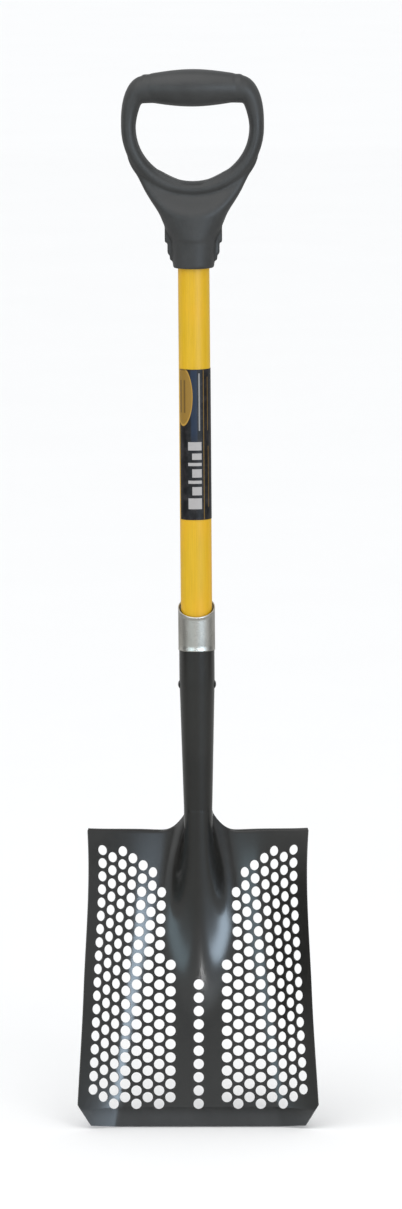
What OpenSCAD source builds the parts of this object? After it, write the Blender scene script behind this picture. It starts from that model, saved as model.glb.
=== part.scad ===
// Square-point sifting shovel: perforated steel blade with a rolled socket,
// fibreglass shaft and moulded D-grip.
//
// Frame, in millimetres: the shovel hangs upright from its crossbar.
// +Z runs up the shaft and the shaft's axis is X = Y = 0.
// -Y is the loading face of the blade. X is across.
// Z = 0 is the underside of the crossbar, where a hook carries the tool.

/* [Blade] */
// Length of the blade along its floor
blade_len = 300; // [250:1:340]
// Developed half width of the blade, from the centre line to a side edge
blade_half = 124.8; // [115:0.5:135]
// Sheet thickness of the blade and the socket
sheet_t = 2; // [1.5:0.1:2.6]
// Lift: the angle between the shaft's axis and the blade's floor
lift = 16; // [8:0.5:25]
// Height of the blade's top edge below the crossbar
blade_drop = 740.6; // [700:0.1:780]
// Distance from the shaft's axis back to the blade's floor at its top edge
heel_back = 20.1; // [12:0.1:30]
// Tilt of the raised sides at the top edge, the middle and the cutting edge
side_tilt = [24.5, 37.6, 19.8];
// Developed distance from the centre line where the sides begin to rise at the top edge
rise_top = 5; // [0:1:40]
// Developed distance from the centre line where the sides begin to rise at the cutting edge
rise_end = 80; // [40:1:100]
// Developed distance from the centre line where the sides reach their full tilt
rise_full = 88.5; // [70:0.5:110]
// How far the frog draws the sheet inwards at the top edge
draw_in = 6.8; // [0:0.1:12]
// How far down the blade the sheet is drawn inwards
draw_len = 164; // [80:1:220]
// Size of the bevelled corners of the cutting edge, across and along
corner = [15, 20];
// Depth of the foot step, turned back along the top edge
step_depth = 9; // [4:0.5:14]

/* [Sifting holes] */
// Radius of one sifting hole
hole_r = 5.25; // [4:0.05:6]
// Distance between two columns of holes
column_pitch = 11.47; // [10:0.01:14]
// Distance between two holes of one column
row_pitch = 13.45; // [11:0.01:16]
// Distance from the lowest row of holes to the cutting edge
row_margin = 23; // [15:0.5:35]
// First row and number of holes of each column, from the centre line outwards
columns = [[0, 10], [0.5, 11], [0, 17], [0.5, 18], [0, 19], [0.5, 19], [0, 20], [0.5, 19], [1, 19]];

/* [Socket and frog] */
// Radius of the socket where it holds the shaft
socket_r = 17.9; // [16:0.1:20]
// Radius of the socket at its narrow lower end
neck_r = 13.8; // [12:0.1:17]
// Height of the socket's top below the crossbar
socket_drop = 507.5; // [480:0.1:540]
// Height below the crossbar where the socket begins to taper
taper_drop = 580; // [550:1:620]
// Height of the socket's lower end below the crossbar
neck_drop = 738; // [700:1:745]
// Radius of the frog's ridge
frog_r = 14.6; // [13:0.1:20]
// Size of the blend between the frog and the floor
frog_blend = 24; // [8:1:40]
// Width of the open seam along the back of the socket
seam_w = 3; // [1:0.1:8]
// Slope of the ferrule's and the socket's top, lower at the front
top_slope = 25; // [0:1:35]

/* [Ferrule and rivet] */
// Outer radius of the ferrule
ferrule_r = 18.7; // [18.2:0.1:20]
// Height of the ferrule's top below the crossbar, at its sides
ferrule_drop = 506.2; // [480:0.1:540]
// Height of the ferrule's lower end below the crossbar
ferrule_end = 549.9; // [530:0.1:580]
// Height of the rivet below the crossbar
rivet_drop = 585.4; // [560:0.1:620]
// Radius of the rivet's shank
rivet_r = 3; // [2:0.1:4]
// Radius of the rivet's heads
rivet_head_r = 4.4; // [3.5:0.1:6]

/* [Shaft and label] */
// Diameter of the fibreglass shaft
shaft_d = 31.75; // [28:0.05:36]
// Wall of the fibreglass tube
shaft_wall = 3.6; // [2:0.1:6]
// Height of the shaft's top below the crossbar
shaft_top = 114; // [105:1:130]
// Height of the shaft's lower end below the crossbar
shaft_end = 662; // [620:1:680]
// Length of the dowel that fills the lower end of the tube
core_len = 170; // [80:1:250]
// Length of the plug that fills the top of the tube
plug_len = 78; // [40:1:120]
// Height of the label's top below the crossbar
label_drop = 263.4; // [200:0.1:350]
// Length of the label
label_len = 152.6; // [80:0.1:200]
// Angle that the label wraps around the shaft
label_wrap = 300; // [180:1:355]
// Thickness of the label
label_t = 0.3; // [0.1:0.05:0.6]

/* [Grip] */
// Largest radius of the crossbar, at its middle
bar_r = 18.85; // [15:0.05:22]
// Radius of the crossbar at its ends
bar_end_r = 14.5; // [11:0.1:18]
// Half the length of the swollen part of the crossbar
bar_half = 41.7; // [35:0.1:50]
// Half width of the hand opening
opening_half = 56.9; // [48:0.1:66]
// Depth of the round lower half of the hand opening
opening_low = 54.4; // [45:0.1:65]
// Height below the crossbar where the hand opening is widest
opening_drop = 20.4; // [10:0.1:35]
// Half thickness of the arms, across and front to back
arm = [7.5, 11.5];
// Radius of the collar at its lower end
collar_r = 20.7; // [19:0.1:24]
// Height of the collar's lower end below the crossbar
collar_drop = 162; // [150:0.5:180]
// Height below the crossbar where the collar begins
collar_top = 121.7; // [110:0.1:135]
// Radius of the pin that holds the grip
grip_pin_r = 2.5; // [1.5:0.1:4]
// Height of the grip pin below the crossbar
grip_pin_drop = 134; // [125:0.5:150]

/* [Hidden] */

$fn = 48;
shaft_r = shaft_d / 2;
bore_r = shaft_r - shaft_wall;
socket_bore = socket_r - sheet_t;
bar_z = bar_r;
gap = 0.03;
big = 400;

// Developed distances of the lines the sheet is built on, fine around the frog
inner_r = frog_r - sheet_t;
near_lines = concat(
    [0, 4.3, 8, 10.8, inner_r - 0.2, inner_r + 0.2, frog_r - 0.2, frog_r + 0.2],
    [16.8, 20, 23, 26.5, 30.5, 34.4]
);
far_lines = [for (i = [1:6]) 34.4 + i * column_pitch];
half_lines = concat(
    near_lines,
    [40.1],
    far_lines,
    [blade_half - corner[0], blade_half - corner[0] / 2, blade_half]
);

function clamp01(v) = max(0, min(1, v));
function smooth(a, b, v) = let (t = clamp01((v - a) / (b - a))) t * t * (3 - 2 * t);

// Tilt of the sheet across the blade, at a developed distance u and a distance s from the top edge
function along(s) = (s + 5) / (blade_len + 5);
function full_tilt(t) =
    side_tilt[0] * (1 - t) * (1 - 2 * t) + 4 * side_tilt[1] * t * (1 - t) + side_tilt[2] * t * (2 * t - 1);
function tilt(u, s) =
    let (t = clamp01(along(s)))
    full_tilt(t) * smooth(rise_top + (rise_end - rise_top) * t, rise_full, u);

// Where the dished sheet lies at u and s: [distance from the centre line, height over the floor]
function dish(u, s, n = 24) =
    let (
        d = u / n,
        steps = [for (i = [0:n - 1]) tilt(d * (i + 0.5), s)],
        x = d * total([for (a = steps) cos(a)]),
        h = d * total([for (a = steps) sin(a)]),
        q = 1 - smooth(-5, draw_len, s)
    )
    [x - draw_in * q * smooth(20, 60, u), h];
function total(v) = v * [for (i = v) 1];

// Distance to the dished sheet blended with the ridge that continues the socket
function blend(a, b) = let (h = max(frog_blend - abs(a - b), 0)) min(a, b) - h * h / (4 * frog_blend);
function depth(s, z) = heel_back - s * sin(lift) - z * cos(lift);
function field(x, s, z, h, c) = blend(norm([x, depth(s, z)]) - frog_r, (z - h) * c);

// Height of the sheet's face that lies `level` outside the blended surface
function root(x, s, h, c, level, low, high, n) =
    n == 0 ? (low + high) / 2 :
    let (mid = (low + high) / 2)
    field(x, s, mid, h, c) > level
        ? root(x, s, h, c, level, low, mid, n - 1)
        : root(x, s, h, c, level, mid, high, n - 1);
function face_height(u, s, level) =
    let (
        p = dish(u, s),
        c = cos(tilt(u, s)),
        axis = (heel_back - s * sin(lift)) / cos(lift),
        inside = p[0] < frog_r + level && axis > p[1]
    )
    root(p[0], s, p[1], c, level, inside ? axis : p[1] - 4 * sheet_t, 80, 22);

// Outline of the sheet
function top_edge(u) = -2.6 - 17.4 * pow(clamp01((44 - u) / 30), 3) + 2 * smooth(60, blade_half, u);
function end_edge(u) = blade_len - corner[1] * clamp01((u - blade_half + corner[0]) / corner[0]);
rows = concat([for (i = [0:20]) i / 20 * 0.5], [0.58, 0.68, 0.8, 0.91, 1]);
function row_s(u, v) = top_edge(u) + (end_edge(u) - top_edge(u)) * v;

// One line of the sheet from the step to the cutting edge, as [s, height] pairs of a face
function front_line(u) =
    let (
        top = top_edge(u),
        z = face_height(u, top, 0),
        f = sheet_t + 0.4 + (step_depth - sheet_t) * smooth(38, 56, u)
    )
    concat(
        [[top, z - f], [top, z - 0.8]],
        [for (v = rows)
            let (s = row_s(u, v) + (v == 0 ? 0.8 : 0))
            [s, face_height(u, s, 0)]]
    );
function back_line(u) =
    let (
        top = top_edge(u),
        z = face_height(u, top, 0),
        f = sheet_t + 0.4 + (step_depth - sheet_t) * smooth(38, 56, u),
        s1 = top + sheet_t,
        z1 = face_height(u, s1, -sheet_t)
    )
    concat(
        [[s1, min(z - f, z1 - 0.4)], [s1, z1 - 0.2]],
        [for (i = [0:len(rows) - 1])
            let (s = i == 0 ? s1 + 0.3 : row_s(u, rows[i]))
            [s, face_height(u, s, -sheet_t)]]
    );

// The blade's own frame: x across, y up the floor, z out of the loading face
module blade_frame() {
    translate([0, heel_back, -blade_drop])
        rotate([90 - lift, 0, 0])
            children();
}

module sheet() {
    n = len(half_lines);
    us = [for (i = [-(n - 1):n - 1]) i];
    m = len(rows) + 2;
    fronts = [for (i = [0:n - 1]) front_line(half_lines[i])];
    backs = [for (i = [0:n - 1]) back_line(half_lines[i])];
    points = concat(
        [for (k = us, p = fronts[abs(k)]) [sign(k) * dish(half_lines[abs(k)], p[0])[0], -p[0], p[1]]],
        [for (k = us, p = backs[abs(k)]) [sign(k) * dish(half_lines[abs(k)], p[0])[0], -p[0], p[1]]]
    );
    w = 2 * n - 1;
    b = w * m;
    faces = concat(
        [for (i = [0:w - 2], j = [0:m - 2]) [i * m + j, (i + 1) * m + j, (i + 1) * m + j + 1, i * m + j + 1]],
        [for (i = [0:w - 2], j = [0:m - 2])
            [b + i * m + j, b + i * m + j + 1, b + (i + 1) * m + j + 1, b + (i + 1) * m + j]],
        [for (i = [0:w - 2]) [i * m, b + i * m, b + (i + 1) * m, (i + 1) * m]],
        [for (i = [0:w - 2]) [(i + 1) * m + m - 1, b + (i + 1) * m + m - 1, b + i * m + m - 1, i * m + m - 1]],
        [for (j = [0:m - 2]) [j, j + 1, b + j + 1, b + j]],
        [for (j = [0:m - 2])
            [b + (w - 1) * m + j, b + (w - 1) * m + j + 1, (w - 1) * m + j + 1, (w - 1) * m + j]]
    );
    polyhedron(points, faces, convexity = 10);
}

// One column of holes, square to the sheet
module hole_column(index, side) {
    u = index == 0 ? 0 : column_pitch * (index + 1.5);
    for (i = [0:columns[index][1] - 1]) {
        s = blade_len - row_margin - row_pitch * (columns[index][0] + i);
        p = dish(u, s);
        translate([side * p[0], -s, face_height(u, s, 0)])
            rotate([0, -side * tilt(u, s), 0])
                translate([0, 0, -sheet_t * 4])
                    cylinder(r = hole_r, h = sheet_t * 6);
    }
}

// Keeps what lies under a plane that slopes down towards the front
module slope_cut(drop) {
    translate([0, 0, -drop])
        rotate([top_slope, 0, 0])
            translate([-big / 2, -big / 2, 0])
                cube([big, big, big / 2]);
}

module socket_solid(inset) {
    translate([0, 0, -taper_drop])
        cylinder(r = socket_r - inset, h = taper_drop - socket_drop + 20);
    translate([0, 0, -neck_drop])
        cylinder(r1 = neck_r - inset, r2 = socket_r - inset, h = neck_drop - taper_drop);
}

module socket() {
    difference() {
        socket_solid(0);
        socket_solid(sheet_t);
        translate([0, 0, -neck_drop - 1])
            cylinder(r = neck_r - sheet_t, h = 3);
        slope_cut(socket_drop);
        rivet_hole(rivet_r + gap);
        // The seam runs down the back and opens towards the hollow of the frog
        rotate([90, 0, 0])
            translate([0, 0, -big])
                linear_extrude(height = big)
                    polygon([
                        [-seam_w / 2, -socket_drop + 30],
                        [-seam_w / 2, -neck_drop + 95],
                        [-neck_r - 2, -neck_drop + 8],
                        [-neck_r - 2, -neck_drop - 20],
                        [neck_r + 2, -neck_drop - 20],
                        [neck_r + 2, -neck_drop + 8],
                        [seam_w / 2, -neck_drop + 95],
                        [seam_w / 2, -socket_drop + 30]
                    ]);
    }
}

module rivet_hole(r) {
    translate([-big / 2, 0, -rivet_drop])
        rotate([0, 90, 0])
            cylinder(r = r, h = big);
}

module blade() {
    color([0.1, 0.1, 0.11]) {
        difference() {
            blade_frame() sheet();
            blade_frame() {
                for (i = [0:8]) hole_column(i, 1);
                for (i = [1:8]) hole_column(i, -1);
            }
        }
        socket();
    }
}

module ferrule() {
    color([0.62, 0.62, 0.6])
        difference() {
            translate([0, 0, -ferrule_end])
                cylinder(r = ferrule_r, h = ferrule_end - ferrule_drop + 20);
            translate([0, 0, -ferrule_end - 1])
                cylinder(r = socket_r + gap, h = ferrule_end - ferrule_drop + 30);
            slope_cut(ferrule_drop);
        }
}

module socket_rivet() {
    color([0.12, 0.12, 0.13]) {
        head_x = socket_r - 0.2;
        translate([-head_x, 0, -rivet_drop])
            rotate([0, 90, 0])
                cylinder(r = rivet_r, h = 2 * head_x);
        for (side = [-1, 1])
            translate([0, 0, -rivet_drop])
                rotate([0, side * 90, 0])
                    translate([0, 0, head_x - 0.1]) {
                        cylinder(r = rivet_head_r, h = 0.8);
                        translate([0, 0, 0.8])
                            cylinder(r1 = rivet_head_r, r2 = rivet_head_r * 0.55, h = 0.9);
                    }
    }
}

module shaft_tube() {
    tip_r = socket_bore - (socket_bore - neck_r + sheet_t) * (shaft_end - taper_drop) / (neck_drop - taper_drop);
    color([0.88, 0.7, 0.12])
        difference() {
            union() {
                translate([0, 0, -taper_drop])
                    cylinder(r = shaft_r, h = taper_drop - shaft_top);
                translate([0, 0, -shaft_end])
                    cylinder(r1 = tip_r - 0.05, r2 = shaft_r, h = shaft_end - taper_drop);
            }
            translate([0, 0, -shaft_end - 1])
                cylinder(r = bore_r, h = shaft_end - shaft_top + 2);
            rivet_hole(rivet_r + gap);
            pin_hole(grip_pin_r + gap);
        }
}

module shaft_core() {
    color([0.8, 0.72, 0.5])
        difference() {
            translate([0, 0, -shaft_end + 1])
                cylinder(r = bore_r - gap, h = core_len);
            rivet_hole(rivet_r + gap);
        }
}

module shaft_plug() {
    color([0.8, 0.72, 0.5])
        difference() {
            translate([0, 0, -shaft_top - plug_len])
                cylinder(r = bore_r - gap, h = plug_len);
            pin_hole(grip_pin_r + gap);
        }
}

module pin_hole(r) {
    translate([-big / 2, 0, -grip_pin_drop])
        rotate([0, 90, 0])
            cylinder(r = r, h = big);
}

// A printed wrap whose free edges meet at the back left
module label() {
    color([0.06, 0.06, 0.08])
        translate([0, 0, -label_drop - label_len])
            rotate([0, 0, -155])
                rotate_extrude(angle = label_wrap)
                    translate([shaft_r + gap, 0])
                        square([label_t, label_len]);
}

module grip_pin() {
    color([0.6, 0.6, 0.6])
        translate([-collar_r, 0, -grip_pin_drop])
            rotate([0, 90, 0])
                cylinder(r = grip_pin_r, h = 2 * collar_r);
}

// The crossbar: a swollen barrel between two plain ends
module crossbar() {
    n = 6;
    translate([0, 0, bar_z])
        rotate([0, 90, 0])
            rotate_extrude()
                polygon(concat(
                    [[0, -bar_half - 8], [bar_end_r - 0.6, -bar_half - 8], [bar_end_r - 0.6, -bar_half]],
                    [for (i = [-n:n]) [bar_end_r + (bar_r - bar_end_r) * cos(90 * i / n), bar_half * i / n]],
                    [[bar_end_r - 0.6, bar_half], [bar_end_r - 0.6, bar_half + 8], [0, bar_half + 8]]
                ));
}

// Centre of the arms: a half ellipse under the hand opening and a round shoulder on each side.
// Each station is [x, z, direction of the outside, half thickness across, half thickness in depth].
corner_z = -19;
shoulder_x = 49.7;
shoulder_z = bar_z - 1.4;
shoulder_r = bar_end_r - 0.5;
function low_station(a) =
    let (
        rx = opening_half + arm[0],
        rz = opening_low + arm[0] + 1,
        foot = smooth(0.3, 1, -sin(a))
    )
    [rx * cos(a), -opening_drop + rz * sin(a), a, arm[0] + foot, arm[1] + 0.5 * foot];
function high_station(a) =
    let (
        k = smooth(0, 90, a),
        c = pow(cos(a), 0.885),
        s = pow(sin(a), 0.885)
    )
    [
        shoulder_x + (opening_half + arm[0] - shoulder_x) * c - 0.8 * sin(2 * a),
        corner_z + (shoulder_z - corner_z) * s,
        a,
        arm[0] + (shoulder_r - arm[0]) * pow(a / 90, 1.16),
        arm[1] + (shoulder_r - arm[1]) * k
    ];
right_half = concat(
    [for (a = [-90:9:-9]) low_station(a)],
    [[opening_half + arm[0], -opening_drop, 0, arm[0], arm[1]]],
    [for (a = [0:15:90]) high_station(a)],
    [[38, shoulder_z, 90, shoulder_r - 0.3, shoulder_r - 0.3]]
);
stations = concat(
    [for (i = [len(right_half) - 1:-1:1]) let (p = right_half[i]) [-p[0], p[1], 180 - p[2], p[3], p[4]]],
    right_half
);

module arms() {
    around = 16;
    m = len(stations);
    points = [for (p = stations, j = [0:around - 1])
        let (a = 360 * j / around, across = p[3] * cos(a))
        [p[0] + across * cos(p[2]), p[4] * sin(a), p[1] + across * sin(p[2])]];
    faces = concat(
        [for (i = [0:m - 2], j = [0:around - 1])
            let (k = (j + 1) % around)
            [i * around + k, i * around + j, (i + 1) * around + j, (i + 1) * around + k]],
        [[for (j = [0:around - 1]) j]],
        [[for (j = [around - 1:-1:0]) (m - 1) * around + j]]
    );
    polyhedron(points, faces, convexity = 8);
}

// The body between the arms and the collar, wide and thin at the top, round below.
// Its top is hollowed along the middle of the arms.
module throat() {
    around = 28;
    count = 10;
    low = [22.9, 23.6, -collar_top - 12];
    high = [66, 11, -50];
    points = [for (i = [0:count], j = [0:around - 1])
        let (
            t = i / count,
            a = 360 * j / around,
            n = 2 / (2 + 0.9 * t),
            rx = low[0] + (high[0] - low[0]) * pow(t, 1.05),
            ry = low[1] + (high[1] - low[1]) * smooth(-0.1, 0.85, t)
        )
        [
            rx * sign(cos(a)) * pow(abs(cos(a)), n),
            ry * sign(sin(a)) * pow(abs(sin(a)), n),
            low[2] + (high[2] - low[2]) * t
        ]];
    faces = concat(
        [for (i = [0:count - 1], j = [0:around - 1])
            let (k = (j + 1) % around)
            [i * around + k, i * around + j, (i + 1) * around + j, (i + 1) * around + k]],
        [[for (j = [0:around - 1]) j]],
        [[for (j = [around - 1:-1:0]) count * around + j]]
    );
    difference() {
        polyhedron(points, faces, convexity = 4);
        rotate([90, 0, 0])
            translate([0, -opening_drop, -big / 2])
                linear_extrude(height = big)
                    polygon([for (a = [0:10:350])
                        [(opening_half + arm[0] * 0.8) * cos(a), (opening_low + arm[0] * 0.8) * sin(a)]]);
    }
}

// Stepped seam ribs on both sides of the collar
module seam_ribs() {
    steps = [[28.9, -collar_top - 14.7], [26.3, -collar_top - 26.8], [24, -collar_top - 33]];
    for (side = [-1, 1], p = steps)
        translate([side > 0 ? 0 : -p[0], -3.2, p[1]])
            cube([p[0], 6.4, -collar_top + 4 - p[1]]);
}

module d_grip() {
    color([0.2, 0.2, 0.21])
        difference() {
            union() {
                crossbar();
                arms();
                throat();
                translate([0, 0, -collar_drop])
                    cylinder(r1 = collar_r, r2 = 22.8, h = collar_drop - collar_top - 6);
                seam_ribs();
            }
            translate([0, 0, -collar_drop - 1])
                cylinder(r = shaft_r + gap, h = collar_drop + 1 - shaft_top + 0.5);
            translate([-collar_r - gap, 0, -grip_pin_drop])
                rotate([0, 90, 0])
                    cylinder(r = grip_pin_r + gap, h = 2 * collar_r + 2 * gap);
        }
}

blade();
ferrule();
socket_rivet();
shaft_tube();
shaft_core();
shaft_plug();
label();
d_grip();
grip_pin();
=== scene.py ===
import math

import bmesh
import bpy
import numpy as np
from bpy.props import FloatProperty, FloatVectorProperty, PointerProperty
from mathutils import Matrix, Quaternion, Vector


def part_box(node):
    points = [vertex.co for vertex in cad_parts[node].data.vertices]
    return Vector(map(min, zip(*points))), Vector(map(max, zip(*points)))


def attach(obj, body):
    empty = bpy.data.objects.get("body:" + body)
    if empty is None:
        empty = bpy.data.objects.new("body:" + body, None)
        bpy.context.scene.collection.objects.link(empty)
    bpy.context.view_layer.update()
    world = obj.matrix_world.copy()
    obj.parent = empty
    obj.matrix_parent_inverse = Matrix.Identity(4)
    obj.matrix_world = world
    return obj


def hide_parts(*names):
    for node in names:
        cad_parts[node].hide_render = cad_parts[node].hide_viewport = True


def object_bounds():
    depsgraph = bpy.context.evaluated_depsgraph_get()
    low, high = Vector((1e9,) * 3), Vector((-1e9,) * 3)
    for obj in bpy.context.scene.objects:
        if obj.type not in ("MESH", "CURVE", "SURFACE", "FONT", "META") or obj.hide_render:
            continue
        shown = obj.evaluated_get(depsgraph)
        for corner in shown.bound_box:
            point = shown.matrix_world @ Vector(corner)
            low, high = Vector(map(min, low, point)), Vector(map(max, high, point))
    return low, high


bl_info = {
    "name": "Sifting shovel",
    "version": (1, 0, 0),
    "blender": (4, 5, 0),
    "location": "3D View > Sidebar > Shovel",
    "description": "Builds the pieces, finishes and stage of a sifting shovel with a D-grip",
    "category": "Object",
}

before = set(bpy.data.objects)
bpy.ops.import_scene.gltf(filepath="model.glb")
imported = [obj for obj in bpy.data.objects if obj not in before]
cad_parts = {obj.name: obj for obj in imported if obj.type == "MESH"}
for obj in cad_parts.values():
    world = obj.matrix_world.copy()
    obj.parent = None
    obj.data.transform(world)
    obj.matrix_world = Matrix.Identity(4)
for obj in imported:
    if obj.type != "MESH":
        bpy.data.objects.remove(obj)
CAD_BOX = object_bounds()
MM = 0.001

# Where the CAD nodes are, in millimetres
SHAFT_LOW, SHAFT_HIGH = (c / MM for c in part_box("shaft_tube"))
FERRULE_LOW, FERRULE_HIGH = (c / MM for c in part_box("ferrule"))
LABEL_LOW, LABEL_HIGH = (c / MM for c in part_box("label"))
RIVET_LOW, RIVET_HIGH = (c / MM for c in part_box("socket_rivet"))
SHAFT_R = SHAFT_HIGH.x
FERRULE_R = FERRULE_HIGH.x

# The pressed sheet, in millimetres and degrees
SHEET = 2.0
BLADE_LEN = 300.0
BLADE_HALF = 124.8
LIFT = math.radians(16)
BLADE_DROP = 740.6
HEEL_BACK = 20.1
CORNER = (15.0, 20.0)

# The dish: slope of the sides at the heel, middle and cutting edge, where they start to rise at
# the heel and at the cutting edge, where they reach their full slope, and how far the heel is
# drawn in by the press
SIDE_TILT = (24.5, 37.6, 19.8)
RISE_TOP, RISE_END, RISE_FULL = 5.0, 80.0, 88.5
DRAW_IN, DRAW_LEN = 6.8, 164.0

# The frog: its radius, its fillets at the neck and lower down, how far it flares towards its tip,
# and how much it is slimmed to slip under the socket's end
FROG_R = 14.6
NECK_BLEND, FROG_BLEND, FROG_FLARE = 24.0, 19.0, 12.0
NECK_EASE = 0.15

# The foot step: how deep it turns down, and the roll of its bend there and beside the neck
STEP_DEPTH, STEP_BEND, NECK_BEND = 9.0, 3.2, 0.3
BEND_TURNS, STEP_TURNS = 5, 2

# The hole field: pitch across and along, edge margin, and each column's first row and count
PITCH, ROW, MARGIN = 11.47, 13.45, 23.0
COLUMNS = ((0, 10), (0.5, 11), (0, 17), (0.5, 18), (0, 19), (0.5, 19), (0, 20), (0.5, 19), (1, 19))

# The blank's cells: how many to a hole, how far the grid runs above and below the lowest row of
# holes and to each side, and how many cells the first outer column stands from the middle one
CELLS = 6
DU, DS = PITCH / CELLS, ROW / CELLS
TOP_CELLS, END_CELLS, SIDE_CELLS = 124, 11, 66
BARE_CELLS = 9

# The cells above STRETCH_FROM are run up to the curved top edge. Those over the frog are spread
# evenly down to EVEN_END, and less and less from there to FROG_END
STRETCH_FROM = 12.5
FROG_CELLS, EVEN_STEP = 12, 1.5
EVEN_END, FROG_END = 125.0, 148.0

# The rolled socket, its slanted top, and the seam behind, which opens from SEAM_OPENS down
SOCKET_R, NECK_R = 17.9, 13.8
SOCKET_TOP, TAPER_TOP, NECK_END = -507.5, -580.0, -738.0
SLANT_FROM, TOP_SLOPE = -530.0, math.tan(math.radians(25))
SEAM_HALF, SEAM_OPENING, SEAM_OPENS, SEAM_OPEN = 1.5, 15.0, -643.0, -730.0

# The ferrule's top, the shaft's wall and tapered tip, and the label's film
FERRULE_TOP = -506.2
SHAFT_WALL, SHAFT_TIP_R = 3.6, 13.75
FILM_GAP, FILM = 0.03, 0.30
LABEL_START, LABEL_ANGLE = math.radians(-155), math.radians(300)

# The grip: its crossbar, the shoulders where the arms meet it, the hand opening, the arms' half
# thicknesses across and in depth, the throat under the opening, and the collar with its ribs
BAR_Z = 18.85
BAR_HALF, BAR_END_R = 41.7, 14.5
SHOULDER_X, SHOULDER_Z, SHOULDER_R = 49.7, BAR_Z - 1.4, BAR_END_R - 0.5
SHOULDER_FOOT, SHOULDER_SQUARE, SHOULDER_SWELL, SHOULDER_LEAN = -19.0, 0.885, 1.16, 0.8
OPENING_HALF, OPENING_LOW, OPENING_DROP = 56.9, 54.4, 20.4
ARM = (7.5, 11.5)
THROAT_HALF, THROAT_SPREAD, THROAT_TOP = 22.9, 43.1, -50.0
THROAT_DEPTH, THROAT_SWELL = 9.5, 13.8
COLLAR_R, COLLAR_END, COLLAR_TOP = 20.7, -162.0, -121.7
RIB_WIDTH = 6.4
RIBS = ((28.9, COLLAR_TOP - 14.7), (26.3, COLLAR_TOP - 26.8), (24.0, COLLAR_TOP - 33))

# The stage, in metres and degrees: the blade's middle, which the lamps face, and the camera
BLADE_HEART = Vector((0, 0, -0.85))
VIEW_TURN, VIEW_RISE, VIEW_ROLL = 2.0, 8.0, -0.47
VIEW_AWAY, VIEW_TALL, SENSOR = 8.0, 1.2227, 36.0
VIEW_SIDE, VIEW_MIDDLE = 0.0046, -0.5041


# ---------------------------------------------------------------- sizes and finishes a user may change

class ShovelSizes(bpy.types.PropertyGroup):
    hole_radius: FloatProperty(
        name="Hole radius", description="Radius of the drain holes",
        default=0.00525, min=0.003, max=0.0054, unit="LENGTH")
    rim_round: FloatProperty(
        name="Rim rounding", description="Rounding of the sheet's edges and hole rims under the paint",
        default=0.00035, min=0.0001, max=0.0008, unit="LENGTH")
    voxel: FloatProperty(
        name="Grip fineness", description="Size of the cells that the grip's shapes are fused at",
        default=0.0011, min=0.0008, max=0.004, unit="LENGTH")


class ShovelFinishes(bpy.types.PropertyGroup):
    paint: FloatVectorProperty(
        name="Blade paint", description="Colour of the baked paint on blade and socket",
        subtype="COLOR", size=3, min=0, max=1, default=(0.0085, 0.0082, 0.0070))
    shaft: FloatVectorProperty(
        name="Shaft", description="Colour of the fibreglass shaft",
        subtype="COLOR", size=3, min=0, max=1, default=(0.64, 0.395, 0.008))
    grip: FloatVectorProperty(
        name="Grip", description="Colour of the moulded grip",
        subtype="COLOR", size=3, min=0, max=1, default=(0.031, 0.032, 0.032))
    steel: FloatVectorProperty(
        name="Ferrule", description="Colour of the bare steel ferrule",
        subtype="COLOR", size=3, min=0, max=1, default=(0.60, 0.58, 0.53))
    film: FloatVectorProperty(
        name="Label film", description="Ground colour of the label",
        subtype="COLOR", size=3, min=0, max=1, default=(0.005, 0.005, 0.006))
    gold: FloatVectorProperty(
        name="Label gold", description="Colour of the label's oval and lines",
        subtype="COLOR", size=3, min=0, max=1, default=(0.27, 0.155, 0.022))


# ---------------------------------------------------------------- materials

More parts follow.
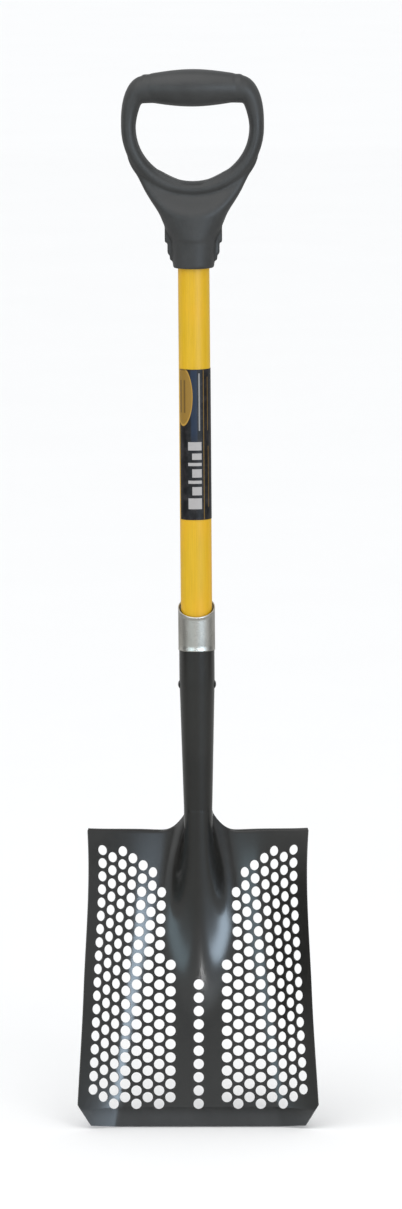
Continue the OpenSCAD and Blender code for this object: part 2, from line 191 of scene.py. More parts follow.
class Finish:
    """A node material on Object coordinates, with short ways to add nodes."""

    def __init__(self, name):
        self.material = bpy.data.materials.new(name)
        self.material.use_nodes = True
        self.tree = self.material.node_tree
        self.tree.nodes.clear()
        self.shader = self.node("ShaderNodeBsdfPrincipled")
        output = self.node("ShaderNodeOutputMaterial")
        self.join(self.shader.outputs[0], output.inputs[0])
        self.place = self.node("ShaderNodeTexCoord").outputs["Object"]

    def node(self, kind, **settings):
        made = self.tree.nodes.new(kind)
        for key, value in settings.items():
            setattr(made, key, value)
        return made

    def join(self, source, target):
        self.tree.links.new(source, target)

    def put(self, socket, value):
        if isinstance(value, bpy.types.NodeSocket):
            self.join(value, socket)
        else:
            socket.default_value = value

    def set(self, **values):
        """Sets the shader's own sockets, with _ for a space in their names."""
        for key, value in values.items():
            self.put(self.shader.inputs[key.replace("_", " ").title()], value)

    def mapped(self, stretch=(1, 1, 1)):
        mapping = self.node("ShaderNodeMapping")
        self.join(self.place, mapping.inputs["Vector"])
        mapping.inputs["Scale"].default_value = stretch
        return mapping.outputs[0]

    def noise(self, scale, detail=2.0, roughness=0.5, stretch=(1, 1, 1)):
        noise = self.node("ShaderNodeTexNoise")
        self.join(self.mapped(stretch), noise.inputs["Vector"])
        noise.inputs["Scale"].default_value = scale
        noise.inputs["Detail"].default_value = detail
        noise.inputs["Roughness"].default_value = roughness
        return noise.outputs["Fac"]

    def math(self, operation, a, b=0.0, c=0.0):
        made = self.node("ShaderNodeMath", operation=operation)
        for socket, value in zip(made.inputs, (a, b, c)):
            self.put(socket, value)
        return made.outputs[0]

    def spread(self, value, low, high, to_low=0.0, to_high=1.0, kind="SMOOTHSTEP"):
        made = self.node("ShaderNodeMapRange", interpolation_type=kind)
        for socket, v in zip(made.inputs, (value, low, high, to_low, to_high)):
            self.put(socket, v)
        return made.outputs[0]

    def blend(self, factor, a, b):
        made = self.node("ShaderNodeMix", data_type="RGBA")
        self.put(made.inputs["Factor"], factor)
        colours = [s for s in made.inputs if s.type == "RGBA"]
        self.put(colours[0], a)
        self.put(colours[1], b)
        return [s for s in made.outputs if s.type == "RGBA"][0]

    def axes(self):
        made = self.node("ShaderNodeSeparateXYZ")
        self.join(self.place, made.inputs[0])
        return made.outputs

    def relief(self, *layers):
        """Stacks bumps: each layer is (height, depth in metres)."""
        normal = None
        for height, depth in layers:
            bump = self.node("ShaderNodeBump")
            bump.inputs["Distance"].default_value = depth
            bump.inputs["Strength"].default_value = 1.0
            self.join(height, bump.inputs["Height"])
            if normal is not None:
                self.join(normal, bump.inputs["Normal"])
            normal = bump.outputs[0]
        self.join(normal, self.shader.inputs["Normal"])


def rgba(colour, gain=1.0):
    """A colour with its alpha, made lighter or darker by a gain."""
    return (*(min(1.0, c * gain) for c in colour), 1.0)


def finishes():
    """The colours that a user may change."""
    return bpy.context.scene.shovel_finishes


def paint_finish():
    """Baked gloss paint with a little orange peel, thin dust and fine rubs."""
    found = bpy.data.materials.get("Baked black paint")
    if found:
        return found
    f = Finish("Baked black paint")
    colour = finishes().paint
    cloud = f.noise(14, 4, 0.6)
    rubs = f.noise(55, 5, 0.7, (1, 1, 0.25))
    tone = f.blend(f.spread(cloud, 0.35, 0.7), rgba(colour), rgba(colour, 1.5))
    dust = f.spread(rubs, 0.62, 0.85, 0.0, 0.25)
    tone = f.blend(dust, tone, rgba((0.035, 0.033, 0.030)))
    near_edge = f.spread(f.axes()[2], -1.020, -1.006, 1.0, 0.0)
    scuffed = f.math("MULTIPLY", near_edge, f.spread(cloud, 0.2, 0.8, 0.5, 1.0))
    tone = f.blend(scuffed, tone, rgba((0.034, 0.036, 0.038)))
    f.set(Base_Color=tone, Roughness=f.spread(rubs, 0.3, 0.8, 0.34, 0.46))
    f.set(Coat_weight=0.85, Coat_roughness=0.17)
    f.shader.inputs["Specular IOR Level"].default_value = 0.22
    f.relief((f.noise(330, 2, 0.45), 0.00004), (f.noise(60, 1, 0.4), 0.00010))
    return f.material


def steel_finish():
    """Bare steel drawn round its axis, with faint stains."""
    f = Finish("Drawn bare steel")
    colour = finishes().steel
    drawn = f.noise(6, 4, 0.75, (60, 60, 900))
    stain = f.noise(70, 4, 0.6, (1, 1, 0.5))
    f.set(Base_Color=f.blend(f.spread(stain, 0.4, 0.75), rgba(colour), rgba(colour, 0.72)))
    f.set(Metallic=1.0, Roughness=f.spread(drawn, 0.25, 0.75, 0.24, 0.42), Anisotropic=0.35)
    f.relief((drawn, 0.000025), (f.noise(400, 2), 0.00002))
    return f.material


def shaft_finish():
    """Pultruded fibreglass: lengthwise rovings under a glossy tinted resin, with fine specks."""
    f = Finish("Yellow fibreglass")
    colour = finishes().shaft
    roving = f.noise(1, 3, 0.65, (1500, 1500, 28))
    speck = f.noise(1900, 2, 0.6, (1, 1, 0.55))
    cloud = f.noise(26, 3, 0.5, (1, 1, 0.4))
    tone = f.blend(f.spread(roving, 0.3, 0.7), rgba(colour, 0.93), rgba(colour, 1.05))
    tone = f.blend(f.spread(cloud, 0.35, 0.7, 0.0, 0.5), tone, rgba((0.80, 0.40, 0.012)))
    tone = f.blend(f.spread(speck, 0.62, 0.78, 0.0, 0.45), tone, rgba((0.52, 0.25, 0.015)))
    f.set(Base_Color=tone, Roughness=f.spread(roving, 0.3, 0.7, 0.30, 0.42))
    f.shader.inputs["Specular IOR Level"].default_value = 0.35
    f.relief((roving, 0.00005), (speck, 0.00002))
    return f.material


def label_finish(radius, top, length):
    """Printed film: a navy and black ground, a plain gold oval, pale bars and thin gold rules."""
    f = Finish("Printed label film")
    gold, film = finishes().gold, finishes().film
    x, y, z = f.axes()
    turn = f.math("ARCTAN2", x, f.math("MULTIPLY", y, -1.0))
    arc = f.math("MULTIPLY", turn, radius)
    drop = f.math("SUBTRACT", top, z)

    def band(value, low, high, soft=0.00022):
        rise = f.spread(value, low - soft, low + soft)
        fall = f.spread(value, high - soft, high + soft, 1.0, 0.0)
        return f.math("MULTIPLY", rise, fall)

    def oval(across, down, half_across, half_down):
        u = f.math("DIVIDE", f.math("SUBTRACT", arc, across), half_across)
        v = f.math("DIVIDE", f.math("SUBTRACT", drop, down), half_down)
        return f.math("SQRT", f.math("ADD", f.math("MULTIPLY", u, u), f.math("MULTIPLY", v, v)))

    fade = f.noise(120, 3, 0.6)
    ground = f.blend(f.spread(fade, 0.35, 0.75), rgba(film), rgba((0.026, 0.024, 0.026)))
    navy = f.math("MULTIPLY", band(arc, -0.0035, 0.0030, 0.0012),
                  f.spread(drop, 0.060, 0.088, 1.0, 0.0))
    tone = f.blend(f.math("MULTIPLY", navy, 0.9), ground, rgba((0.014, 0.028, 0.060)))
    shape = oval(-0.0128, 0.0275, 0.0112, 0.0300)
    tone = f.blend(f.spread(shape, 0.985, 1.015, 1.0, 0.0), tone, rgba(gold, 1.55))
    tone = f.blend(f.spread(shape, 0.915, 0.945, 1.0, 0.0), tone, rgba(gold))
    half_line, half_rule = 0.0010, 0.00032
    for at in (-0.0158, -0.0106):
        line = f.math("MULTIPLY", band(arc, at - half_line, at + half_line), band(drop, 0.011, 0.044))
        tone = f.blend(f.math("MULTIPLY", line, 0.6), tone, rgba((0.05, 0.03, 0.012)))
    wide, narrow, bar_right = -0.0068, -0.0026, 0.0072
    bars = ((0.0735, 0.0084, wide), (0.0850, 0.0064, narrow), (0.0945, 0.0032, wide),
            (0.1010, 0.0084, narrow), (0.1125, 0.0032, wide), (0.1190, 0.0084, narrow),
            (0.1305, 0.0110, wide))
    for start, height, left in bars:
        pale = f.math("MULTIPLY", band(arc, left, bar_right), band(drop, start, start + height))
        tone = f.blend(f.math("MULTIPLY", pale, 0.9), tone, rgba((0.43, 0.42, 0.42)))
    fine = f.math("MULTIPLY", band(arc, 0.0044, 0.0058), band(drop, 0.004, 0.062))
    tone = f.blend(f.math("MULTIPLY", fine, 0.55), tone, rgba((0.50, 0.50, 0.50)))
    for at, low, high in ((0.0098, -1.0, 1.0), (0.0150, 0.008, 0.062), (0.0158, 0.078, 0.140)):
        rule = f.math("MULTIPLY", band(arc, at - half_rule, at + half_rule), band(drop, low, high))
        tone = f.blend(f.math("MULTIPLY", rule, 0.8), tone, rgba(gold, 1.1))
    edge = f.math("MAXIMUM", f.spread(drop, 0.0004, 0.0016, 1.0, 0.0),
                  f.spread(drop, length - 0.0016, length - 0.0004))
    tone = f.blend(f.math("MULTIPLY", edge, 0.6), tone, rgba((0.020, 0.014, 0.010)))
    f.set(Base_Color=tone, Roughness=f.spread(fade, 0.3, 0.7, 0.36, 0.46))
    f.shader.inputs["Specular IOR Level"].default_value = 0.3
    f.relief((f.noise(90, 2), 0.00006), (f.noise(900, 1), 0.00001))
    return f.material


def grip_finish():
    """Moulded plastic with a spark-eroded skin, rubbed a little smoother where a hand holds it."""
    f = Finish("Charcoal moulded plastic")
    colour = finishes().grip
    x, y, z = f.axes()
    grain = f.noise(2100, 2, 0.6)
    flow = f.noise(45, 4, 0.55)
    held = f.math("MULTIPLY", f.spread(z, -0.004, 0.008),
                  f.spread(f.math("ABSOLUTE", x), 0.030, 0.052, 1.0, 0.0))
    tone = f.blend(f.spread(flow, 0.3, 0.7), rgba(colour, 0.88), rgba(colour, 1.16))
    tone = f.blend(f.spread(grain, 0.55, 0.8, 0.0, 0.35), tone, rgba(colour, 1.7))
    f.set(Base_Color=tone)
    rough = f.spread(flow, 0.3, 0.7, 0.44, 0.56)
    f.set(Roughness=f.math("SUBTRACT", rough, f.math("MULTIPLY", held, 0.07)))
    parting = f.spread(f.math("ABSOLUTE", y), 0.0, 0.0004, 1.0, 0.0)
    f.relief((grain, 0.00008), (f.noise(260, 3), 0.00010), (parting, 0.00018))
    return f.material


def filler_finish(name, dark, pale, rings):
    """Hidden dowel or plug: growth rings and pores along the shaft."""
    f = Finish(name)
    grain = f.noise(rings, 4, 0.6, (1, 1, 0.04))
    pores = f.noise(900, 2, 0.5, (1, 1, 0.06))
    tone = f.blend(f.spread(grain, 0.35, 0.65), rgba(dark), rgba(pale))
    f.set(Base_Color=f.blend(f.spread(pores, 0.6, 0.75, 0.0, 0.4), tone, rgba(dark, 0.6)))
    f.set(Roughness=f.spread(grain, 0.3, 0.7, 0.62, 0.8))
    f.relief((pores, 0.00008))
    return f.material


def pin_finish():
    """Zinc-coloured pin with turning marks round it."""
    f = Finish("Turned pin steel")
    marks = f.noise(5, 3, 0.7, (700, 60, 60))
    f.set(Base_Color=f.blend(marks, rgba((0.50, 0.50, 0.47)), rgba((0.66, 0.66, 0.62))))
    f.set(Metallic=1.0, Roughness=f.spread(marks, 0.3, 0.7, 0.28, 0.4))
    f.relief((marks, 0.00002))
    return f.material


def grey_finish(name, dark, pale, scale=4, detail=2):
    """Matt board or cloth of the stage, a little uneven in tone."""
    f = Finish(name)
    f.set(Base_Color=f.blend(f.noise(scale, detail), rgba(dark), rgba(pale)), Roughness=1.0)
    return f


# ---------------------------------------------------------------- shaping helpers

def smooth(low, high, value):
    """Eased step from 0 at low to 1 at high."""
    t = np.clip((value - low) / (high - low), 0, 1)
    return t * t * (3 - 2 * t)


def add_piece(name, bm, finish, nodes, sharp=38, merge=0.0):
    """Turns a bmesh in millimetres into a piece on the root body that stands for CAD nodes."""
    if merge:
        bmesh.ops.remove_doubles(bm, verts=bm.verts, dist=merge)
    bmesh.ops.scale(bm, vec=(MM, MM, MM), verts=bm.verts)
    bm.normal_update()
    mesh = bpy.data.meshes.new(name)
    bm.to_mesh(mesh)
    bm.free()
    mesh.materials.append(finish)
    mesh.shade_smooth()
    mesh.set_sharp_from_angle(angle=math.radians(sharp))
    piece = bpy.data.objects.new(name, mesh)
    bpy.context.scene.collection.objects.link(piece)
    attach(piece, "root")
    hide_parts(*nodes)
    return piece


def add_profile(bm, points, closed=False):
    """Verts and edges of a lathe profile, given as (radius, height) in the XZ plane."""
    verts = [bm.verts.new((r, 0, z)) for r, z in points]
    pairs = list(zip(verts, verts[1:]))
    if closed:
        pairs.append((verts[-1], verts[0]))
    return verts + [bm.edges.new(p) for p in pairs]


def turn(bm, geom, steps=96, start=0.0, angle=2 * math.pi):
    """Lathes a profile about the shaft's axis, from the angle start on."""
    verts = [g for g in geom if isinstance(g, bmesh.types.BMVert)]
    bmesh.ops.rotate(bm, cent=(0, 0, 0), matrix=Matrix.Rotation(start, 3, "Z"), verts=verts)
    full = abs(angle - 2 * math.pi) < 1e-6
    bmesh.ops.spin(bm, geom=geom, cent=(0, 0, 0), axis=(0, 0, 1), dvec=(0, 0, 0),
                   angle=angle, steps=steps, use_merge=full, use_duplicate=False)


def add_from(bm, other):
    """Moves all of another bmesh into bm."""
    mesh = bpy.data.meshes.new("part")
    other.to_mesh(mesh)
    other.free()
    bm.from_mesh(mesh)
    bpy.data.meshes.remove(mesh)


def close_up(bm):
    """Merges a closed shell's seam and poles and turns its faces outwards."""
    bmesh.ops.remove_doubles(bm, verts=bm.verts, dist=0.001)
    bmesh.ops.recalc_face_normals(bm, faces=bm.faces)


# ---------------------------------------------------------------- the pressed sheet

def bend_radius(u):
    """Radius of the rolled top edge: small beside the neck, full at the foot step."""
    return NECK_BEND + (STEP_BEND - NECK_BEND) * smooth(24, 48, u)


def top_edge(u):
    """Height of the blank's top edge: it runs up to the neck and falls away at the corners."""
    return -2.6 - 17.4 * np.clip((44 - u) / 30, 0, 1) ** 3 + 2 * smooth(60, BLADE_HALF, u)


def stretched(u, s):
    """The last rows of the flat blank run up to the curved top edge."""
    flat_top = BLADE_LEN - MARGIN - DS * TOP_CELLS
    t = np.clip((STRETCH_FROM - s) / (STRETCH_FROM - flat_top), 0, 1)
    return np.where(t > 0, STRETCH_FROM + t * (top_edge(u) + bend_radius(u) - STRETCH_FROM), s)


def tilt(u, s):
    """Slope of the sheet across the blade, in radians."""
    t = np.clip((s + 5) / (BLADE_LEN + 5), 0, 1)
    full = (SIDE_TILT[0] * (1 - t) * (1 - 2 * t) + 4 * SIDE_TILT[1] * t * (1 - t)
            + SIDE_TILT[2] * t * (2 * t - 1))
    return np.radians(full) * smooth(RISE_TOP + (RISE_END - RISE_TOP) * t, RISE_FULL, u)


def dish(u, s, steps=24):
    """Distance from the centre line and height over the floor of the dished sheet."""
    slopes = [tilt(u * (i + 0.5) / steps, s) for i in range(steps)]
    x = u / steps * sum(np.cos(a) for a in slopes)
    h = u / steps * sum(np.sin(a) for a in slopes)
    return x - DRAW_IN * (1 - smooth(-5, DRAW_LEN, s)) * smooth(20, 60, u), h


def sheet_surface(u, s):
    """(x, height) of the loading face: the dish blended with the frog that continues the socket."""
    x, floor = dish(u, s)
    lean = np.cos(tilt(u, s))
    flare = FROG_FLARE * smooth(5, 100, s)
    frog = FROG_R + flare - NECK_EASE * (1 - smooth(-20, 5, s))
    fillet = NECK_BLEND + (FROG_BLEND - NECK_BLEND) * smooth(10, 70, s)
    axis = (HEEL_BACK - flare - s * math.sin(LIFT)) / math.cos(LIFT)
    low = np.where((x < frog) & (axis > floor), axis, floor - 4 * SHEET)
    high = np.full_like(low, 80.0)
    for _ in range(26):
        middle = (low + high) / 2
        depth = HEEL_BACK - s * math.sin(LIFT) - middle * math.cos(LIFT)
        to_frog, to_floor = np.hypot(x, depth - flare) - frog, (middle - floor) * lean
        k = np.maximum(fillet - np.abs(to_frog - to_floor), 0)
        outside = np.minimum(to_frog, to_floor) - k * k / (4 * fillet) > 0
        high, low = np.where(outside, middle, high), np.where(outside, low, middle)
    return x, (low + high) / 2


def even_lines(u, s):
    """Moves the lines over the frog so that they lie evenly along its steep sides."""
    span = FROG_CELLS * DU
    fine = np.linspace(0, span, 260)
    rows = np.arange(-EVEN_STEP, FROG_END + 3, EVEN_STEP)
    grid_u, grid_s = np.meshgrid(fine, rows)
    real_s = stretched(grid_u, grid_s)
    x, z = sheet_surface(grid_u, real_s)
    steps = np.sqrt(np.diff(x) ** 2 + np.diff(z) ** 2 + np.diff(real_s) ** 2)
    run = np.concatenate([np.zeros((len(rows), 1)), np.cumsum(steps, axis=1)], axis=1)
    run /= run[:, -1:]
    at = np.clip((s - rows[0]) / EVEN_STEP, 0, len(rows) - 1.001)
    share = np.clip(np.abs(u) / span, 0, 1)
    out = np.array(u)
    for i in np.nonzero((np.abs(u) < span - 0.01) & (s < FROG_END))[0]:
        row, part = int(at[i]), at[i] - int(at[i])
        even = ((1 - part) * np.interp(share[i], run[row], fine)
                + part * np.interp(share[i], run[row + 1], fine))
        weight = 1 - smooth(EVEN_END, FROG_END, s[i])
        out[i] = math.copysign(abs(u[i]) + weight * (even - abs(u[i])), u[i])
    return out


def hole_tile():
    """A block of the blank with one hole: a square border bridged to a round rim."""
    bm = bmesh.new()
    bmesh.ops.create_grid(bm, x_segments=CELLS, y_segments=CELLS, size=0.5)
    bmesh.ops.scale(bm, vec=(PITCH, ROW, 1), verts=bm.verts)
    bmesh.ops.delete(bm, geom=[v for v in bm.verts if not v.is_boundary], context="VERTS")
    border = bm.edges[:]
    radius = bpy.context.scene.shovel_sizes.hole_radius / MM
    ring = bmesh.ops.create_circle(bm, cap_ends=False, radius=radius, segments=4 * CELLS)
    rim = {e for v in ring["verts"] for e in v.link_edges}
    bmesh.ops.bridge_loops(bm, edges=border + list(rim))
    bmesh.ops.recalc_face_normals(bm, faces=bm.faces)
    if sum(f.normal.z for f in bm.faces) < 0:
        bmesh.ops.reverse_faces(bm, faces=bm.faces)
    tile = bpy.data.meshes.new("hole tile")
    bm.to_mesh(tile)
    bm.free()
    return tile


def hole_places():
    """Cell numbers of the holes' centres, across and up from the lowest row."""
    return [(side * (0 if k == 0 else CELLS * k + BARE_CELLS), round(CELLS * (first + i)))
            for k, (first, count) in enumerate(COLUMNS)
            for side in ((1,) if k == 0 else (1, -1))
            for i in range(count)]


def flat_blank():
    """The punched blank before pressing: x across, -y along, z counts the turns of the top roll."""
    bm = bmesh.new()
    rows = TOP_CELLS + END_CELLS
    bmesh.ops.create_grid(bm, x_segments=2 * SIDE_CELLS, y_segments=rows, size=0.5)
    bmesh.ops.scale(bm, vec=(2 * SIDE_CELLS * DU, rows * DS, 1), verts=bm.verts)
    low_hole = -(BLADE_LEN - MARGIN)
    bmesh.ops.translate(bm, vec=(0, low_hole + (rows / 2 - END_CELLS) * DS, 0), verts=bm.verts)
    half = CELLS // 2
    places = hole_places()
    inside = {(i + a, j + b) for i, j in places
              for a in range(1 - half, half) for b in range(1 - half, half)}
    gone = [v for v in bm.verts
            if (round(v.co.x / DU), round((v.co.y - low_hole) / DS)) in inside]
    bmesh.ops.delete(bm, geom=gone, context="VERTS")
    tile, field = hole_tile(), bmesh.new()
    for i, j in places:
        count = len(field.verts)
        field.from_mesh(tile)
        field.verts.ensure_lookup_table()
        bmesh.ops.translate(field, vec=(i * DU, low_hole + j * DS, 0), verts=field.verts[count:])
    add_from(bm, field)
    bpy.data.meshes.remove(tile)
    bmesh.ops.remove_doubles(bm, verts=bm.verts, dist=0.02)
    cuts = [((side * BLADE_HALF, 0, 0), (side, 0, 0)) for side in (1, -1)]
    cuts += [((side * BLADE_HALF, CORNER[1] - BLADE_LEN, 0), (side * CORNER[1], -CORNER[0], 0))
             for side in (1, -1)]
    cuts.append(((0, -BLADE_LEN, 0), (0, -1, 0)))
    for point, outward in cuts:
        bmesh.ops.bisect_plane(bm, geom=bm.verts[:] + bm.edges[:] + bm.faces[:], dist=0.001,
                               plane_co=point, plane_no=outward, clear_outer=True)
    reach = FROG_CELLS * DU + 0.1
    across = [e for e in bm.edges
              if all(abs(v.co.x) < reach and -v.co.y < FROG_END for v in e.verts)
              and abs(e.verts[0].co.x - e.verts[1].co.x) > abs(e.verts[0].co.y - e.verts[1].co.y)]
    bmesh.ops.subdivide_edges(bm, edges=across, cuts=1, use_grid_fill=True)
    top = max(v.co.y for v in bm.verts)
    edge = [e for e in bm.edges if all(abs(v.co.y - top) < 0.01 for v in e.verts)]
    for turn_count in range(1, BEND_TURNS + STEP_TURNS + 1):
        made = bmesh.ops.extrude_edge_only(bm, edges=edge)["geom"]
        verts = [g for g in made if isinstance(g, bmesh.types.BMVert)]
        for v in verts:
            v.co.z = turn_count
        edge = [g for g in made if isinstance(g, bmesh.types.BMEdge)
                and all(v.co.z == turn_count for v in g.verts)]
    return bm


def press(bm):
    """Presses the flat blank: dish, frog, rolled top edge, then lifts it to its place."""
    flat = np.array([v.co for v in bm.verts])
    turns = flat[:, 2]
    u = even_lines(flat[:, 0], -flat[:, 1])
    side, u = np.sign(u), np.abs(u)
    s = stretched(u, -flat[:, 1])
    x, z = sheet_surface(u, s)
    roll = bend_radius(u)
    bent = np.minimum(turns, BEND_TURNS) * math.pi / (2 * BEND_TURNS)
    hang = roll - NECK_BEND + (STEP_DEPTH - STEP_BEND) * smooth(38, 56, u)
    fall = np.maximum(turns - BEND_TURNS, 0) / STEP_TURNS * np.maximum(hang - roll, 0.2)
    y = -s + roll * np.sin(bent)
    z = z - roll * (1 - np.cos(bent)) - fall
    for v, px, py, pz in zip(bm.verts, side * x, y, z):
        v.co = (px, py, pz)
    lifted = Matrix.Rotation(math.pi / 2 - LIFT, 4, "X")
    place = Matrix.Translation((0, HEEL_BACK, -BLADE_DROP)) @ lifted
    bmesh.ops.transform(bm, matrix=place, verts=bm.verts)
    bmesh.ops.recalc_face_normals(bm, faces=bm.faces)
    if sum(f.normal.y * f.calc_area() for f in bm.faces) > 0:
        bmesh.ops.reverse_faces(bm, faces=bm.faces)


def socket_radius(z):
    """Outer radius of the socket, which tapers to the neck."""
    t = min(max((TAPER_TOP - z) / (TAPER_TOP - NECK_END), 0), 1)
    return SOCKET_R + (NECK_R - SOCKET_R) * t


def rolled_socket():
    """The socket: the sheet rolled round the shaft, with a seam behind that opens into the frog."""
    bm = bmesh.new()
    heights = [SOCKET_TOP, -511, -516, -522, -530, -545, -562, -574, TAPER_TOP, -586]
    heights += list(range(-594, -722, -8)) + [-722, -725]
    gap = SEAM_HALF / SOCKET_R
    geom = add_profile(bm, [(socket_radius(z), z) for z in heights])
    turn(bm, geom, steps=88, start=math.pi / 2 + gap, angle=2 * (math.pi - gap))
    for v in bm.verts:
        x, y, z = v.co
        radius = math.hypot(x, y)
        around = math.atan2(x, -y)
        share = min(max((SEAM_OPENS - z) / (SEAM_OPENS - SEAM_OPEN), 0), 1)
        wide = SEAM_HALF + SEAM_OPENING * share
        opened = math.asin(min(1.0, wide / radius))
        around *= (math.pi - opened) / (math.pi - gap)
        v.co.x, v.co.y = radius * math.sin(around), -radius * math.cos(around)
        v.co.z += max(0.0, (z - SLANT_FROM) / (SOCKET_TOP - SLANT_FROM)) * v.co.y * TOP_SLOPE
    bmesh.ops.recalc_face_normals(bm, faces=bm.faces)
    front = min(bm.faces, key=lambda f: f.calc_center_median().y)
    if front.normal.y > 0:
        bmesh.ops.reverse_faces(bm, faces=bm.faces)
    return bm


# ---------------------------------------------------------------- the grip

def arm_station(a):
    """Centre (x, z), direction of the outside, half thicknesses across and in depth."""
    if a < 0:
        foot = float(smooth(0.3, 1, -math.sin(math.radians(a))))
        c, s = math.cos(math.radians(a)), math.sin(math.radians(a))
        return ((OPENING_HALF + ARM[0]) * c, -OPENING_DROP + (OPENING_LOW + ARM[0] + 1) * s,
                a, ARM[0] + foot, ARM[1] + 0.5 * foot)
    c = max(0.0, math.cos(math.radians(a))) ** SHOULDER_SQUARE
    s = math.sin(math.radians(a)) ** SHOULDER_SQUARE
    lean = SHOULDER_LEAN * math.sin(math.radians(2 * a))
    return (SHOULDER_X + (OPENING_HALF + ARM[0] - SHOULDER_X) * c - lean,
            SHOULDER_FOOT + (SHOULDER_Z - SHOULDER_FOOT) * s, a,
            ARM[0] + (SHOULDER_R - ARM[0]) * (a / 90) ** SHOULDER_SWELL,
            ARM[1] + (SHOULDER_R - ARM[1]) * float(smooth(0, 90, a)))


def bridged(bm, sections):
    """Skins closed sections, each the matrix that places a unit circle, and caps the ends."""
    loops = []
    for matrix in sections:
        ring = bmesh.ops.create_circle(bm, cap_ends=False, radius=1, segments=32, matrix=matrix)
        loops.append({e for v in ring["verts"] for e in v.link_edges})
    for a, b in zip(loops, loops[1:]):
        bmesh.ops.bridge_loops(bm, edges=list(a | b))
    for loop in (loops[0], loops[-1]):
        bmesh.ops.contextual_create(bm, geom=list(loop))


def arms():
    """Both arms in one sweep, from inside the crossbar round under the hand opening and back."""
    bm = bmesh.new()
    stations = [arm_station(a) for a in range(-90, 0, 6)]
    stations.append((OPENING_HALF + ARM[0], -OPENING_DROP, 0, *ARM))
    stations += [arm_station(a) for a in range(0, 91, 9)]
    stations.append((38, SHOULDER_Z, 90, SHOULDER_R - 0.3, SHOULDER_R - 0.3))
    full = [(-x, z, 180 - a, w, d) for x, z, a, w, d in reversed(stations[1:])] + stations
    sections = []
    for x, z, a, across, deep in full:
        out = Vector((math.cos(math.radians(a)), 0, math.sin(math.radians(a))))
        axes = (out * across, Vector((0, deep, 0)), out.cross(Vector((0, 1, 0))))
        sections.append(Matrix.Translation((x, 0, z)) @ Matrix(axes).transposed().to_4x4())
    bridged(bm, sections)
    close_up(bm)
    return bm


def crossbar():
    """The swollen bar that the hand holds, with slimmer ends that run into the shoulders."""
    bm = bmesh.new()
    swell, ledge, steps = BAR_Z - BAR_END_R, 0.2, 14
    stub, end = BAR_END_R - 0.6, BAR_HALF + 8
    points = [(0.01, -end), (stub, -end), (stub, -BAR_HALF)]
    points += [(BAR_END_R + ledge + (swell - ledge) * math.cos(math.pi / 2 * i / steps),
                BAR_HALF * i / steps) for i in range(-steps, steps + 1)]
    points += [(stub, BAR_HALF), (stub, end), (0.01, end)]
    turn(bm, add_profile(bm, points), steps=64)
    place = Matrix.Translation((0, 0, BAR_Z)) @ Matrix.Rotation(math.pi / 2, 4, "Y")
    bmesh.ops.transform(bm, matrix=place, verts=bm.verts)
    bmesh.ops.holes_fill(bm, edges=bm.edges, sides=0)
    close_up(bm)
    return bm


def throat_reach(t):
    """Half width of the throat, from the collar (0) up to the arms (1)."""
    return THROAT_HALF + THROAT_SPREAD * (0.62 * t + 0.38 * float(smooth(0.38, 0.95, t)))


def throat():
    """The body between arms and collar: it swells below the arms like a shoulder."""
    bm = bmesh.new()
    count = 18
    bottom = COLLAR_TOP - 12
    sections = []
    for i in range(count + 1):
        t = i / count
        sections.append(Matrix.Translation((0, 0, bottom + (THROAT_TOP - bottom) * t))
                        @ Matrix.Diagonal((throat_reach(t), 1, 1, 1)))
    bridged(bm, sections)
    across, down = OPENING_HALF + ARM[0] * 0.8, OPENING_LOW + ARM[0] * 0.8
    for v in bm.verts:
        x, y, z = v.co
        t = (z - bottom) / (THROAT_TOP - bottom)
        rx = throat_reach(t)
        power = 2 / (2 + 0.9 * t)
        angle = math.atan2(y, x / rx)
        c, s = math.cos(angle), math.sin(angle)
        x = rx * math.copysign(abs(c) ** power, c)
        top = -OPENING_DROP - down * math.sqrt(max(0.0, 1 - (x / across) ** 2))
        z = bottom + (min(top, THROAT_TOP) - bottom) * t
        beyond = math.hypot(x / across, (z + OPENING_DROP) / down) - 1
        ry = THROAT_DEPTH + THROAT_SWELL * float(smooth(0.08, 0.50, beyond))
        v.co = (x, ry * math.copysign(abs(s) ** power, s), z)
    close_up(bm)
    return bm


def collar():
    """The round collar over the shaft's end, with an eased lower rim."""
    bm = bmesh.new()
    top = COLLAR_TOP - 8
    points = [(0.01, COLLAR_END), (COLLAR_R - 1.0, COLLAR_END), (COLLAR_R - 0.3, COLLAR_END + 0.3),
              (COLLAR_R, COLLAR_END + 1.0), (THROAT_HALF, top), (0.01, top)]
    turn(bm, add_profile(bm, points), steps=64)
    bmesh.ops.holes_fill(bm, edges=bm.edges, sides=0)
    close_up(bm)
    return bm


def seam_rib(reach, low):
    """One step of the seam ribs that run down both sides of the collar."""
    bm = bmesh.new()
    bmesh.ops.create_cube(bm, size=1)
    high = COLLAR_TOP + 4
    bmesh.ops.scale(bm, vec=(2 * reach, RIB_WIDTH, high - low), verts=bm.verts)
    bmesh.ops.translate(bm, vec=(0, 0, (high + low) / 2), verts=bm.verts)
    return bm


def fused(parts, voxel):
    """Fuses closed shapes into one skin, as a mould does, and eases its corners."""
    whole = bmesh.new()
    for part in parts:
        add_from(whole, part)
    mesh = bpy.data.meshes.new("fused")
    whole.to_mesh(mesh)
    whole.free()
    holder = bpy.data.objects.new("fused", mesh)
    bpy.context.scene.collection.objects.link(holder)
    skin = holder.modifiers.new("Fuse", "REMESH")
    skin.mode, skin.voxel_size = "VOXEL", voxel
    graph = bpy.context.evaluated_depsgraph_get()
    result = bpy.data.meshes.new_from_object(holder.evaluated_get(graph))
    bm = bmesh.new()
    bm.from_mesh(result)
    bpy.data.objects.remove(holder)
    bpy.data.meshes.remove(mesh)
    bpy.data.meshes.remove(result)
    for _ in range(5):
        bmesh.ops.smooth_vert(bm, verts=bm.verts, factor=0.5,
                              use_axis_x=True, use_axis_y=True, use_axis_z=True)
    return bm


# ---------------------------------------------------------------- operators

